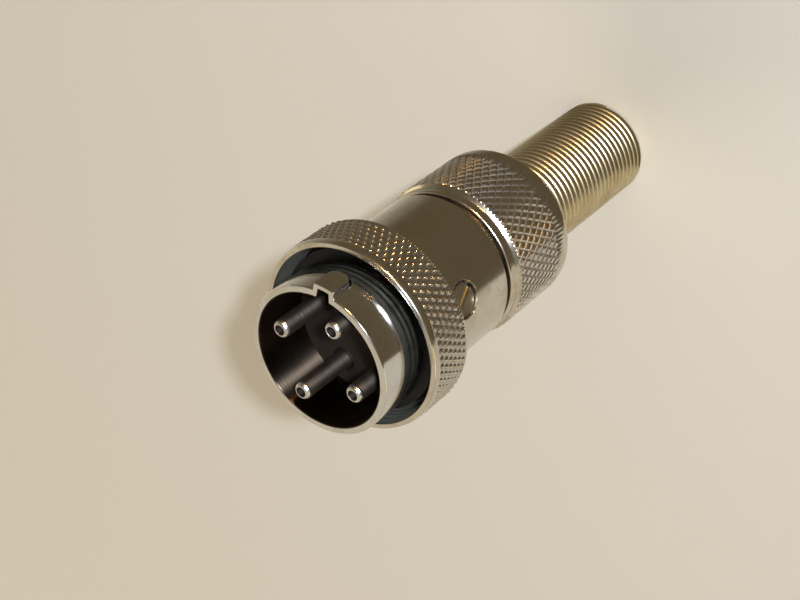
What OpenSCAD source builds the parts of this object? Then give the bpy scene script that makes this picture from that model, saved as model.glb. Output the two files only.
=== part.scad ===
// Circular four-pin connector, cable plug with a screw coupling ring.
// It stands on the ground foot of its bend spring, nose up: +Z points out of the pin end.
// All sizes are in millimetres. The key on the barrel lies on the +X side.

/* [Barrel] */
// Outer diameter of the drawn barrel that holds the pins
barrel_d = 17.2; // [15:0.1:20]
// Wall of the barrel
barrel_wall = 0.85; // [0.7:0.05:1.0]
// Length of the barrel from its rim to the shoulder of the body shell
barrel_len = 10.1; // [9.5:0.1:14]
// Chamfer round the outer edge of the rim
rim_chamfer = 0.12; // [0.05:0.01:0.25]
// Width of the pressed key over its flanks
key_w = 2.6; // [2:0.1:3.5]
// Thickness of the key's flanks
key_flank = 0.35; // [0.25:0.05:0.6]
// Height of the key above the barrel
key_rise = 0.85; // [0.5:0.05:0.9]
// Length of the key behind the rim
key_len = 3.9; // [3:0.1:5]

/* [Body shell] */
// How far the body shell stands out from the barrel
body_step = 0.3; // [0.2:0.05:0.6]
// Visible length of the body shell
body_len = 11.8; // [10:0.2:20]
// Wall of the body shell round the space for the wires
body_wall = 2.25; // [2:0.05:2.6]
// Length of the front spigot inside the barrel
spigot_len = 1.6; // [1:0.1:2.5]
// Wall of the threaded neck that carries the clamp nut
neck_wall = 1.25; // [1.1:0.05:1.4]
// Small edge chamfer on turned parts
edge_chamfer = 0.15; // [0.05:0.05:0.3]

/* [Insert] */
// Thickness of the insulator's front disc
disc_t = 1.5; // [1:0.1:2.5]
// Length of the insulator's boss behind its disc
boss_len = 8.0; // [7:0.2:12]
// Diameter of a contact pin
pin_d = 2.0; // [1.6:0.1:2.4]
// Distance from the barrel's bore to the axes of the pins
pin_inset = 2.65; // [2.3:0.05:3]
// How far the pin tips stand beyond the rim
pin_proud = 0.35; // [0:0.05:1]
// Diameter of the blind hole in a pin's tip
tip_hole_d = 1.2; // [0.8:0.1:1.3]
// Depth of the blind hole in a pin's tip
tip_hole_depth = 2.5; // [1:0.5:5]
// Diameter of the collar that keeps a pin in the insulator
pin_collar_d = 2.7; // [2.5:0.1:3]
// Length of a solder cup behind the insulator
cup_len = 4.5; // [3:0.5:7]
// Bore of a solder cup
cup_bore_d = 1.4; // [1:0.1:1.5]
// Turn of the pin pattern from the key, in degrees
pin_turn = -18.5; // [-45:0.5:45]

/* [Insert screw] */
// Distance of the screw behind the front shoulder of the body shell
screw_back = 4.3; // [3.7:0.1:5]
// Turn of the screw from the key, in degrees
screw_turn = -64; // [-180:1:180]
// Diameter of the recess for the screw head
recess_d = 4.1; // [3.8:0.1:4.6]
// Depth of the recess below the body's surface
recess_depth = 1.05; // [0.9:0.05:1.2]
// Diameter of the cheese head
screw_head_d = 3.6; // [3:0.1:3.7]
// Height of the cheese head
screw_head_h = 0.7; // [0.5:0.05:0.8]
// Diameter of the screw's shank
screw_shank_d = 2.0; // [1.6:0.1:2.2]
// How far the shank's point reaches into the insulator
screw_bite = 0.8; // [0.5:0.1:1.2]
// Width of the driver slot
slot_w = 0.6; // [0.4:0.1:0.8]
// Depth of the driver slot
slot_depth = 0.35; // [0.2:0.05:0.45]

/* [Coupling ring] */
// Room between the barrel and the ring's thread, for the shell of the socket
ring_room = 1.65; // [1.5:0.05:2.2]
// Wall of the ring from the root of its thread to the points of its knurl
ring_wall = 0.85; // [0.8:0.05:1.2]
// Height of the ring knurl's points above its grooves
ring_knurl_depth = 0.3; // [0.15:0.05:0.4]
// Length of the coupling ring
ring_len = 5.9; // [5.5:0.1:8]
// How much wider than the thread the plain mouth is, on the radius
ring_mouth_step = 0.2; // [0.1:0.05:0.25]
// Depth of the plain mouth
ring_mouth_len = 0.5; // [0.3:0.1:0.8]
// Thickness of the internal web that pulls the plug home
web_t = 1.0; // [0.8:0.1:1.4]
// How far the ring's rear skirt covers the body shell
skirt_len = 1.0; // [0.6:0.1:1.5]
// Plain band in front of the knurl
ring_front_band = 1.25; // [0.8:0.05:1.5]
// Plain band behind the knurl
ring_rear_band = 0.4; // [0.2:0.05:0.6]
// Round on the ring's front lip
lip_round = 0.25; // [0.1:0.05:0.3]
// Number of knurl points round the ring
ring_knurl_count = 78; // [60:2:84]
// Number of knurl steps along the ring
ring_knurl_rows = 6; // [4:1:6]

/* [Ring capture] */
// Thickness of the thrust washer in front of the web
washer_t = 0.4; // [0.3:0.05:0.6]
// Gap between the thrust washer and the root of the ring's thread
washer_gap = 0.45; // [0.35:0.05:0.75]
// Free travel of the coupling ring along the barrel
ring_play = 0.8; // [0.5:0.1:1.2]
// Thickness of the retaining clip
clip_t = 0.9; // [0.6:0.05:1]
// How far the retaining clip stands out from the barrel
clip_proud = 0.85; // [0.7:0.05:1]
// Depth of the clip's groove in the barrel
clip_seat = 0.35; // [0.25:0.05:0.4]
// Opening between the ends of the retaining clip
clip_gap = 3.0; // [1.5:0.5:5]

/* [Clamp nut] */
// How far the points of the nut's knurl stand out from the body shell
nut_step = 0.4; // [0.3:0.05:0.8]
// Height of the nut knurl's points above its grooves
nut_knurl_depth = 0.3; // [0.15:0.05:0.4]
// Length of the clamp nut
nut_len = 12.3; // [12:0.1:15]
// Gap between the body shell and the clamp nut
nut_gap = 0.5; // [0.3:0.1:1]
// Plain collar in front of the knurl
nut_front_band = 1.95; // [1:0.05:2.5]
// Plain shoulder behind the knurl
nut_rear_band = 3.1; // [2.6:0.1:4]
// Radius that rounds the rear shoulder
nut_round = 1.4; // [0.8:0.1:1.8]
// Thickness of the nut's rear wall
nut_wall = 1.4; // [1:0.1:2]
// Gap round the ferrule's flange in the nut's chamber
chamber_gap = 0.2; // [0.1:0.05:0.4]
// Number of knurl points round the nut
nut_knurl_count = 60; // [48:2:66]
// Number of knurl steps along the nut
nut_knurl_rows = 9; // [6:1:10]

/* [Cable clamp] */
// Bore for the cable through the clamp ferrule
cable_bore_d = 8.0; // [5:0.1:8.4]
// Length of the ferrule's fingers inside the neck
finger_len = 5.0; // [4:0.1:7]
// Taper of the ferrule's fingers on the diameter
finger_taper = 0.8; // [0.4:0.1:1.2]
// How far the ferrule's rear flange stands out beyond the bore of the body shell
ferrule_lip = 0.35; // [0.25:0.05:0.5]
// Thickness of the ferrule's rear flange
ferrule_flange_t = 1.4; // [1:0.1:1.8]
// Width of the slits between the fingers
slit_w = 0.8; // [0.5:0.1:1.2]
// Thickness of the clamp washer
clamp_washer_t = 0.6; // [0.4:0.05:0.8]
// Travel left between the neck and the ferrule's flange, taken up by a thicker cable
clamp_travel = 0.4; // [0.2:0.05:0.8]

/* [Bend spring] */
// How far the plain turns of the spring lie inside its flare
spring_inset = 0.85; // [0.7:0.05:1.3]
// Diameter of the spring's wire
wire_d = 0.86; // [0.7:0.01:0.88]
// Distance from one turn to the next
spring_pitch = 0.9; // [0.9:0.01:1.05]
// Length of the spring behind the nut
spring_show = 22.4; // [16:0.1:34]
// Gap between the flared turns and the wall of the nut's chamber
flare_gap = 0.35; // [0.2:0.05:0.4]
// Number of flared turns
flare_turns = 1.5; // [1:0.25:2]

/* [Clearances] */
// Radial clearance of a turning or sliding fit
running_fit = 0.06; // [0.03:0.01:0.09]
// Radial clearance where parts only pass each other
free_gap = 0.3; // [0.2:0.05:0.35]
// Radial clearance of a seated, fixed piece
seat_gap = 0.02; // [0.01:0.01:0.03]

/* [Hidden] */
$fn = 96;

// Overlap that makes a cut run clean through a face
eps = 0.1;

// Heights of the main faces above the foot
z_nut_rear = spring_show;
z_nut_front = z_nut_rear + nut_len;
z_body_rear = z_nut_front + nut_gap;
z_body_front = z_body_rear + body_len;
z_rim = z_body_front + barrel_len;

// Radii that several pieces share
barrel_r = barrel_d / 2;
barrel_bore_r = barrel_r - barrel_wall;
key_r = barrel_r + key_rise;
body_r = barrel_r + body_step;
body_bore_r = body_r - body_wall;
neck_r = body_bore_r + neck_wall;
pin_r = pin_d / 2;
pin_circle_r = barrel_bore_r - pin_inset;

// Insert: the disc seats on the spigot and the boss fills the bore behind it
z_disc_rear = z_body_front + spigot_len;
z_boss_end = z_disc_rear - boss_len;
z_disc_front = z_disc_rear + disc_t;
z_pin_tip = z_rim + pin_proud;
z_cup_end = z_boss_end - cup_len;
// Pin collar, flush with the face of the disc
pin_collar_len = 2.0;
z_collar = z_disc_front - pin_collar_len;
tip_round = (pin_d - tip_hole_d) / 4;

// Insert screw, pointing at the axis
z_screw = z_body_front - screw_back;
recess_floor_r = body_r - recess_depth;
screw_top_r = recess_floor_r + screw_head_h;
screw_point_r = body_bore_r - seat_gap - screw_bite;
screw_fit = 0.05;
// Turn of the driver slot, in degrees
slot_turn = 35;

// Coupling ring stack on the barrel, from the shoulder to the nose
z_ring_rear = z_body_front - skirt_len;
z_ring_front = z_ring_rear + ring_len;
z_web_front = z_body_front + web_t;
z_washer_front = z_web_front + washer_t;
z_clip_rear = z_washer_front + ring_play;
ring_thread_r = barrel_r + ring_room;
ring_mouth_r = ring_thread_r + ring_mouth_step;
ring_r = ring_thread_r + ring_wall;
ring_valley_r = ring_r - ring_knurl_depth;
web_bore_r = barrel_r + running_fit;
washer_r = ring_thread_r - washer_gap;
clip_r = barrel_r + clip_proud;

// Clamp stack inside the nut, from its rear wall to the neck
nut_r = body_r + nut_step;
nut_valley_r = nut_r - nut_knurl_depth;
flange_r = body_bore_r + ferrule_lip;
chamber_r = flange_r + chamber_gap;
flare_r = chamber_r - flare_gap - wire_d / 2;
coil_r = flare_r - spring_inset;
spring_r = coil_r + wire_d / 2;
z_chamber_floor = z_nut_rear + nut_wall;
z_flare_foot = z_chamber_floor + seat_gap;
z_washer_rear = z_flare_foot + flare_turns * spring_pitch + wire_d + seat_gap;
z_flange_rear = z_washer_rear + clamp_washer_t;
z_flange_front = z_flange_rear + ferrule_flange_t;
z_neck_end = z_flange_front + clamp_travel;
z_finger_end = z_neck_end + finger_len;
neck_mouth_r = body_bore_r + finger_taper / 2;

// Material left between the plain bands and the bottom of the knurl's grooves
knurl_step = 0.1;
// Depth by which a knurled sleeve reaches into its core
knurl_bite = 0.2;
// Length by which the nut's sleeve is buried in the shoulder
knurl_bury = 0.1;
// Turns over which the spring opens out into its flare, and how many of them come
// before the turn that lies on the chamber's floor
flare_run = 0.75;
flare_lead = 0.15;

// Colours of the finishes
nickel = "#a8a196";
chrome = "#c4c4c2";
bakelite = "#1c1a18";
silvered = "#b9b6ae";
brassy = "#b0a078";
steel = "#8f8f8c";
nylon = "#26241f";

// Sleeve of diamond knurling. Points stand at every second corner of a grid, grooves
// join the corners between them, and the end rows run out at the grooves' depth.
module knurl_sleeve(count, rows, inner_r, valley_r, peak_r, height) {
    around = 2 * count;
    function radius(i, j) = (i + j) % 2 == 0 && j > 0 && j < rows ? peak_r : valley_r;
    outer = [for (j = [0:rows]) for (i = [0:around - 1])
        let (a = 360 * i / around, r = radius(i, j)) [r * cos(a), r * sin(a), height * j / rows]];
    inner = [for (j = [0:1]) for (i = [0:count - 1])
        let (a = 360 * i / count) [inner_r * cos(a), inner_r * sin(a), height * j]];
    first_inner = len(outer);
    function out(i, j) = j * around + i % around;
    function in(i, j) = first_inner + j * count + i % count;
    skin = [for (j = [0:rows - 1]) for (i = [0:around - 1]) for (t = (i + j) % 2 == 0
        ? [[out(i, j), out(i, j + 1), out(i + 1, j)], [out(i + 1, j), out(i, j + 1), out(i + 1, j + 1)]]
        : [[out(i, j), out(i + 1, j + 1), out(i + 1, j)], [out(i, j), out(i, j + 1), out(i + 1, j + 1)]])
        t];
    bore = [for (i = [0:count - 1])
        for (t = [[in(i, 0), in(i + 1, 0), in(i, 1)], [in(i + 1, 0), in(i + 1, 1), in(i, 1)]]) t];
    bottom = [for (i = [0:count - 1]) for (t = [
        [in(i, 0), out(2 * i, 0), out(2 * i + 1, 0)],
        [in(i, 0), out(2 * i + 1, 0), in(i + 1, 0)],
        [in(i + 1, 0), out(2 * i + 1, 0), out(2 * i + 2, 0)]]) t];
    top = [for (i = [0:count - 1]) for (t = [
        [in(i, 1), out(2 * i + 1, rows), out(2 * i, rows)],
        [in(i, 1), in(i + 1, 1), out(2 * i + 1, rows)],
        [in(i + 1, 1), out(2 * i + 2, rows), out(2 * i + 1, rows)]]) t];
    polyhedron(concat(outer, inner), concat(skin, bore, bottom, top));
}

// Washer or disc with a hole
module ring_plate(outer_r, inner_r, z, thickness) {
    translate([0, 0, z]) difference() {
        cylinder(r = outer_r, h = thickness);
        translate([0, 0, -eps]) cylinder(r = inner_r, h = thickness + 2 * eps);
    }
}

// Round bar that points at the axis, between two radii, at the insert screw's place
module screw_bar(diameter, from_r, to_r) {
    rotate([0, 0, screw_turn]) translate([from_r, 0, z_screw]) rotate([0, 90, 0])
        cylinder(d = diameter, h = to_r - from_r);
}

// Tongue that lies along the barrel on the +X side, from the rim to a round end
module tongue(width, length, outer_r) {
    z_round = z_rim - length + width / 2;
    intersection() {
        translate([0, 0, z_rim - length]) cylinder(r = outer_r, h = length + eps);
        rotate([90, 0, 90]) linear_extrude(outer_r + eps) {
            translate([-width / 2, z_round]) square([width, length - width / 2 + eps]);
            translate([0, z_round]) circle(d = width);
        }
    }
}

// Drawn barrel: one tube, with the key pressed out of its wall and a seat for the clip
module barrel() {
    color(chrome) intersection() {
        difference() {
            union() {
                translate([0, 0, z_body_front]) cylinder(r = barrel_r, h = barrel_len);
                tongue(key_w, key_len, key_r);
            }
            translate([0, 0, z_body_front - eps]) cylinder(r = barrel_bore_r, h = barrel_len + 2 * eps);
            tongue(key_w - 2 * key_flank, key_len - key_flank, barrel_bore_r + key_rise);
            ring_plate(barrel_r + eps, barrel_r - clip_seat, z_clip_rear - seat_gap, clip_t + 2 * seat_gap);
        }
        rotate_extrude() polygon([
            [0, z_body_front], [key_r + rim_chamfer, z_body_front],
            [key_r + rim_chamfer, z_rim - key_rise - 2 * rim_chamfer],
            [barrel_r - rim_chamfer, z_rim], [0, z_rim]]);
    }
}

// Body shell: spigot, shoulder, plain body, threaded neck and the recess for the screw
module body_shell() {
    spigot_r = barrel_bore_r - seat_gap;
    color(nickel) difference() {
        rotate_extrude() polygon([
            [body_bore_r, z_disc_rear], [body_bore_r, z_finger_end], [neck_mouth_r, z_neck_end],
            [neck_r - edge_chamfer, z_neck_end], [neck_r, z_neck_end + edge_chamfer],
            [neck_r, z_body_rear], [body_r - edge_chamfer, z_body_rear],
            [body_r, z_body_rear + edge_chamfer], [body_r, z_body_front], [spigot_r, z_body_front],
            [spigot_r, z_disc_rear]]);
        screw_bar(recess_d, recess_floor_r, body_r + eps);
        screw_bar(screw_shank_d + 2 * screw_fit, 0, body_r);
    }
}

// Insulator: a front disc on a long boss, moulded round the four pins
module insulator() {
    color(bakelite) difference() {
        union() {
            translate([0, 0, z_disc_rear]) cylinder(r = barrel_bore_r - seat_gap, h = disc_t);
            translate([0, 0, z_boss_end]) cylinder(r = body_bore_r - seat_gap, h = boss_len + eps);
        }
        for (i = [0:3]) at_pin(i) {
            translate([0, 0, z_boss_end - eps])
                cylinder(r = pin_r + seat_gap, h = boss_len + disc_t + 2 * eps);
            translate([0, 0, z_collar - seat_gap])
                cylinder(r = pin_collar_d / 2 + seat_gap, h = pin_collar_len + seat_gap + eps);
        }
        screw_bar(screw_shank_d + 2 * screw_fit, screw_point_r - screw_fit, body_bore_r);
    }
}

// Place of one pin on the pin circle
module at_pin(index) {
    rotate([0, 0, pin_turn + 90 * index]) translate([pin_circle_r, 0, 0]) children();
}

// Contact pin: rounded tip with a blind hole, retaining collar and an open solder cup
module contact_pin(index) {
    hole_r = tip_hole_d / 2;
    cup_open = cup_len - pin_d;
    color(silvered) at_pin(index) difference() {
        union() {
            rotate_extrude() {
                polygon([[0, z_cup_end], [pin_r, z_cup_end], [pin_r, z_pin_tip - tip_round],
                         [pin_r - tip_round, z_pin_tip - tip_round], [pin_r - tip_round, z_pin_tip],
                         [0, z_pin_tip]]);
                translate([pin_r - tip_round, z_pin_tip - tip_round]) circle(tip_round);
            }
            translate([0, 0, z_collar]) cylinder(d = pin_collar_d, h = pin_collar_len);
        }
        translate([0, 0, z_pin_tip - tip_hole_depth]) cylinder(r = hole_r, h = tip_hole_depth + eps);
        translate([0, 0, z_cup_end - eps]) cylinder(d = cup_bore_d, h = cup_len - pin_r + eps);
        translate([-pin_d, -pin_d / 2, z_cup_end - eps]) cube([pin_d, pin_d, cup_open + eps]);
    }
}
module contact_pin_1() { contact_pin(0); }
module contact_pin_2() { contact_pin(1); }
module contact_pin_3() { contact_pin(2); }
module contact_pin_4() { contact_pin(3); }

// Cheese-head screw that holds the insulator in the body shell
module insert_screw() {
    color(steel) difference() {
        union() {
            screw_bar(screw_head_d, recess_floor_r, screw_top_r);
            screw_bar(screw_shank_d, screw_point_r, recess_floor_r + eps);
        }
        rotate([0, 0, screw_turn]) translate([screw_top_r - slot_depth, 0, z_screw])
            rotate([slot_turn, 0, 0]) translate([0, -slot_w / 2, -screw_head_d])
                cube([slot_depth + eps, slot_w, 2 * screw_head_d]);
    }
}

// Coupling ring: knurled grip, thread bore, and the internal web that pulls the plug home
module coupling_ring() {
    core_r = ring_valley_r - knurl_step;
    color(nickel) union() {
        rotate_extrude() polygon([
            [body_r + free_gap, z_ring_rear], [core_r - edge_chamfer, z_ring_rear],
            [core_r, z_ring_rear + edge_chamfer], [core_r, z_ring_front - lip_round],
            [core_r - lip_round, z_ring_front], [ring_mouth_r, z_ring_front],
            [ring_mouth_r, z_ring_front - ring_mouth_len],
            [ring_thread_r, z_ring_front - ring_mouth_len - ring_mouth_step],
            [ring_thread_r, z_web_front], [web_bore_r, z_web_front],
            [web_bore_r, z_body_front], [body_r + free_gap, z_body_front]]);
        translate([0, 0, z_ring_rear + ring_rear_band])
            knurl_sleeve(ring_knurl_count, ring_knurl_rows, core_r - knurl_bite, ring_valley_r, ring_r,
                         ring_len - ring_front_band - ring_rear_band);
    }
}

// Thrust washer between the ring's web and the retaining clip
module thrust_washer() {
    color(steel) ring_plate(washer_r, barrel_r + running_fit, z_web_front, washer_t);
}

// Retaining clip: an open ring sprung into the barrel's groove, its gap opposite the key
module retaining_clip() {
    color(steel) difference() {
        ring_plate(clip_r, barrel_r - clip_seat + seat_gap, z_clip_rear, clip_t);
        translate([-clip_r - eps, -clip_gap / 2, z_clip_rear - eps])
            cube([clip_r + eps, clip_gap, clip_t + 2 * eps]);
    }
}

// Clamp nut: collar, knurled grip, rounded shoulder, thread bore and chamber for the flare
module clamp_nut() {
    core_r = nut_valley_r - knurl_step;
    z_knurl = z_nut_rear + nut_rear_band;
    color(nickel) union() {
        rotate_extrude() difference() {
            union() {
                polygon([[0, z_nut_rear], [nut_r - nut_round, z_nut_rear],
                         [nut_r - nut_round, z_nut_rear + nut_round],
                         [nut_r, z_nut_rear + nut_round], [nut_r, z_knurl], [core_r, z_knurl],
                         [core_r, z_nut_front - edge_chamfer], [core_r - edge_chamfer, z_nut_front],
                         [0, z_nut_front]]);
                translate([nut_r - nut_round, z_nut_rear + nut_round]) circle(nut_round);
            }
            polygon([[0, z_nut_rear - eps], [spring_r + free_gap, z_nut_rear - eps],
                     [spring_r + free_gap, z_chamber_floor], [chamber_r, z_chamber_floor],
                     [chamber_r, z_flange_front], [neck_r + running_fit, z_flange_front],
                     [neck_r + running_fit, z_nut_front + eps], [0, z_nut_front + eps]]);
        }
        translate([0, 0, z_knurl - knurl_bury])
            knurl_sleeve(nut_knurl_count, nut_knurl_rows, core_r - knurl_bite, nut_valley_r, nut_r,
                         nut_len - nut_front_band - nut_rear_band + knurl_bury);
    }
}

// Clamp ferrule: a flanged bush whose slit fingers close on the cable in the neck's taper
module clamp_ferrule() {
    color(nylon) difference() {
        rotate_extrude() polygon([
            [cable_bore_d / 2, z_flange_rear], [flange_r, z_flange_rear],
            [flange_r, z_flange_front], [neck_mouth_r - seat_gap, z_flange_front],
            [neck_mouth_r - seat_gap, z_neck_end], [body_bore_r - seat_gap, z_finger_end],
            [cable_bore_d / 2, z_finger_end]]);
        for (turn = [0, 90]) rotate([0, 0, turn])
            translate([-body_r, -slit_w / 2, z_flange_front]) cube([2 * body_r, slit_w, z_finger_end]);
    }
}

// Clamp washer: it carries the nut's push from the spring's flare to the ferrule
module clamp_washer() {
    color(steel) ring_plate(flange_r, coil_r - wire_d / 2, z_washer_rear, clamp_washer_t);
}

// Bend spring: close-wound wire from a ground foot to a flare that the nut holds
module bend_spring() {
    sides = 6;
    steps_per_turn = 16;
    ground = 0.25;
    plain_turns = (z_flare_foot + wire_d / 2 + ground) / spring_pitch;
    turns = plain_turns + flare_turns;
    rings = floor(turns * steps_per_turn);
    opening = plain_turns - flare_lead;
    function coil_at(turn) = turn < opening ? coil_r
        : min(flare_r, coil_r + (flare_r - coil_r) * (turn - opening) / flare_run);
    points = [for (k = [0:rings]) for (s = [0:sides - 1])
        let (turn = turns * k / rings, a = 360 * turn, b = 360 * s / sides,
             r = coil_at(turn) + wire_d / 2 * cos(b),
             z = spring_pitch * turn - ground + wire_d / 2 * sin(b))
        [r * cos(a), r * sin(a), max(z, 0)]];
    sleeve = [for (k = [0:rings - 1]) for (s = [0:sides - 1])
        let (p = k * sides + s, q = k * sides + (s + 1) % sides)
        for (t = [[p, q, p + sides], [q, q + sides, p + sides]]) t];
    last = rings * sides;
    start_cap = [for (s = [2:sides - 1]) [1, (s + 1) % sides, s]];
    end_cap = [for (s = [2:sides - 1]) [last + 1, last + s, last + (s + 1) % sides]];
    color(brassy) polyhedron(points, concat(sleeve, start_cap, end_cap));
}

barrel();
body_shell();
insulator();
contact_pin_1();
contact_pin_2();
contact_pin_3();
contact_pin_4();
insert_screw();
coupling_ring();
thrust_washer();
retaining_clip();
clamp_nut();
clamp_ferrule();
clamp_washer();
bend_spring();
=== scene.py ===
# %% [markdown]
# # A four-pin cable plug in plated brass
# The real thing is a round metal connector as long as a finger. A bright drawn barrel holds four
# pins, a knurled ring screws it to its socket, and a plain body carries a knurled clamp nut. A
# close-wound spring behind the nut saves the cable from kinking. The CAD solids are loaded as a
# fixed frame. This lesson gives them their finishes, and swaps the solids whose fine shape
# matters most for denser meshes of the same size.

# %% Load the frame
import math

import bmesh
import bpy
import numpy as np
from mathutils import Matrix, Vector


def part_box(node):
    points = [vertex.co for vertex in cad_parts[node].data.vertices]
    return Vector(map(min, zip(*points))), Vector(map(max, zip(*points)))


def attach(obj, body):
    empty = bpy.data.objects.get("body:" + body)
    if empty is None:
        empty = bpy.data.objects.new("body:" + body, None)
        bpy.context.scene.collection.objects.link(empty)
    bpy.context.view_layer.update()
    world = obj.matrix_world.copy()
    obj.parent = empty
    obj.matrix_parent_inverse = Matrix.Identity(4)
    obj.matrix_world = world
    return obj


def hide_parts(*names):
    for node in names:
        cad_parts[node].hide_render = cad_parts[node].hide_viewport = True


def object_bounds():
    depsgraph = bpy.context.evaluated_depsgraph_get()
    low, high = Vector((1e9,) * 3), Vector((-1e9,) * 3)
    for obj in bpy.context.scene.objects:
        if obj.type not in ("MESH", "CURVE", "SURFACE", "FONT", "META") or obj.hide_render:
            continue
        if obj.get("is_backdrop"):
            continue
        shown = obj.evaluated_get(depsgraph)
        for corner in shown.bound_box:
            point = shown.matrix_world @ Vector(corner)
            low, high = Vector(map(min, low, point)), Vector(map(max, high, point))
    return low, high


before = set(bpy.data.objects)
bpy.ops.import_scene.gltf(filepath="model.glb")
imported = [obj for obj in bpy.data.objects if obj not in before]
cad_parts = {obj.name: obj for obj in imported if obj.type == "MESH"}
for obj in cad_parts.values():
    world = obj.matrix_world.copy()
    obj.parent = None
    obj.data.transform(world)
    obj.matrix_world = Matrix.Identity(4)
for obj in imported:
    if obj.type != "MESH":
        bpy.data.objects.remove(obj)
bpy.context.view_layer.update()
print("nodes:", sorted(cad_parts))

# %% [markdown]
# ## Sizes
# Blender works in metres, but a turner thinks in millimetres, so every size of the plug is in
# millimetres here. Outer sizes are read from the box of each node, so the dressed model can't
# drift away from the solids. Bores and steps inside a box are named beside their own piece.

# %% Sizes read from the CAD boxes, in millimetres
MM = 0.001


def reach(node):
    """Outer radius, lowest and highest height of a round node, in millimetres."""
    low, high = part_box(node)
    return -low[1] / MM, low[2] / MM, high[2] / MM


barrel_r, shoulder_z, rim_z = reach("barrel")
body_r, neck_end_z, spigot_z = reach("body_shell")
ring_r, ring_rear_z, ring_front_z = reach("coupling_ring")
nut_r, nut_rear_z, nut_front_z = reach("clamp_nut")
_, web_front_z, _ = reach("thrust_washer")
_, clip_rear_z, clip_front_z = reach("retaining_clip")
flange_r, clamp_washer_z, flange_z = reach("clamp_washer")
print("barrel", barrel_r, shoulder_z, rim_z, "ring", ring_r, ring_rear_z, ring_front_z)
print("body", body_r, neck_end_z, spigot_z, "nut", nut_r, nut_rear_z, nut_front_z)

# %% [markdown]
# ## A skin for turned parts
# A turned part is a profile swept round an axis. Blender's Screw modifier would do that, but the
# knurl, the threads, the key and the screw's recess all break the roundness. So each part is a
# grid of points instead: one row for each point of the profile, one column for each direction
# round the axis. Any row or column may then be pushed in or out, and the grid still closes on
# itself as one watertight skin.

# %% Faces of a grid that closes on itself both ways
def grid_faces(points, split, inside):
    """Faces over points[row, column], the material index of each, and the volume they enclose.
    split says which way the two triangles of a cell meet: 0 leaves a quad, 1 joins its first
    corner to its third, 2 the other two. Cells between two rows that are marked inside take the
    second material."""
    rows, columns = points.shape[:2]
    index = np.arange(rows * columns).reshape(rows, columns)
    right, up = np.roll(index, -1, axis=1), np.roll(index, -1, axis=0)
    corners = np.stack([index, right, np.roll(right, -1, axis=0), up], axis=-1).reshape(-1, 4)
    flat = points.reshape(-1, 3)
    first, second, third, fourth = (flat[corners[:, k]] for k in range(4))
    volume = np.einsum("ij,ij->", first, np.cross(second, third) + np.cross(third, fourth))
    if volume < 0:
        corners = corners[:, [0, 3, 2, 1]]
    way = np.zeros(len(corners), int) if split is None else split.reshape(-1)
    marked = np.zeros(rows, bool) if inside is None else inside & np.roll(inside, -1)
    finish = np.repeat(marked, columns).astype(np.int32)
    faces, finishes = corners[way == 0].tolist(), [finish[way == 0]]
    for k, joins in ((1, ((0, 1, 2), (0, 2, 3))), (2, ((1, 2, 3), (1, 3, 0)))):
        for join in joins:
            faces += corners[way == k][:, join].tolist()
            finishes.append(finish[way == k])
    return faces, np.concatenate(finishes), abs(volume) / 6


# %% Merge the points that fall together
SAME_POINT = 0.0005


def merge_twins(mesh):
    """Merges points that fall together, as on the axis, and drops the edges left bare by it."""
    cleaner = bmesh.new()
    cleaner.from_mesh(mesh)
    bmesh.ops.remove_doubles(cleaner, verts=cleaner.verts, dist=SAME_POINT * MM)
    bare = [edge for edge in cleaner.edges if not edge.link_faces]
    bmesh.ops.delete(cleaner, geom=bare, context="EDGES")
    cleaner.to_mesh(mesh)
    cleaner.free()


# %% A closed skin from a grid of points
def closed_skin(name, points, body, split=None, groove=None, inside=None, sharp=38):
    """Piece over points[row, column] in millimetres. groove is 0 on open surfaces and 1 at the
    bottom of a groove, and the materials paint the piece darker where it is high, as grime and
    painted shade. Edges that turn more than sharp degrees stay sharp."""
    faces, finishes, volume = grid_faces(points, split, inside)
    mesh = bpy.data.meshes.new(name)
    mesh.from_pydata((points.reshape(-1, 3) * MM).tolist(), [], faces)
    mesh.polygons.foreach_set("material_index", finishes)
    mesh.shade_smooth()
    depth = mesh.attributes.new("groove", "FLOAT", "POINT")
    values = np.zeros(points.shape[:2]) if groove is None else groove
    depth.data.foreach_set("value", values.reshape(-1).astype(np.float32))
    merge_twins(mesh)
    mesh.set_sharp_from_angle(angle=math.radians(sharp))
    piece = bpy.data.objects.new(name, mesh)
    bpy.context.scene.collection.objects.link(piece)
    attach(piece, body)
    print(f"{name}: {len(mesh.polygons)} faces, {volume:.0f} mm3")
    return piece


# %% [markdown]
# ## Profiles and directions
# No turned edge is truly sharp: the tool or the tumbler leaves a small round, and that round is
# what catches the light. A bevel modifier could round them too, with a weight on every edge. Here
# a profile is written as its corners instead, so the size of each round stands beside its corner.

# %% A profile with rounded corners
SUPPORT = 1.3


def rounded(corners, steps=4):
    """Closed profile from corners (radius, height, round), with a soft arc at each round and a
    support point on either side of it, which keeps the shading of the flats clean."""
    points = []
    for k, (r, z, turn) in enumerate(corners):
        here = np.array([r, z])
        if turn == 0:
            points.append(here)
            continue
        back = np.array(corners[k - 1][:2]) - here
        ahead = np.array(corners[(k + 1) % len(corners)][:2]) - here
        back, ahead = back / np.linalg.norm(back), ahead / np.linalg.norm(ahead)
        points.append(here + back * turn * SUPPORT)
        for t in np.linspace(0, 1, steps + 1):
            points.append(here + back * turn * (1 - t) ** 2 + ahead * turn * t**2)
        points.append(here + ahead * turn * SUPPORT)
    return np.array(points)


# %% Grids and directions round the axis
def round_grid(radius, height, angles):
    """Points on the grid, from a radius and a height for each row and column."""
    radius, height, angles = np.broadcast_arrays(radius, height, angles[None, :])
    return np.stack([radius * np.cos(angles), radius * np.sin(angles), height], axis=-1)


def even_angles(count):
    return np.arange(count) * math.tau / count


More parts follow.
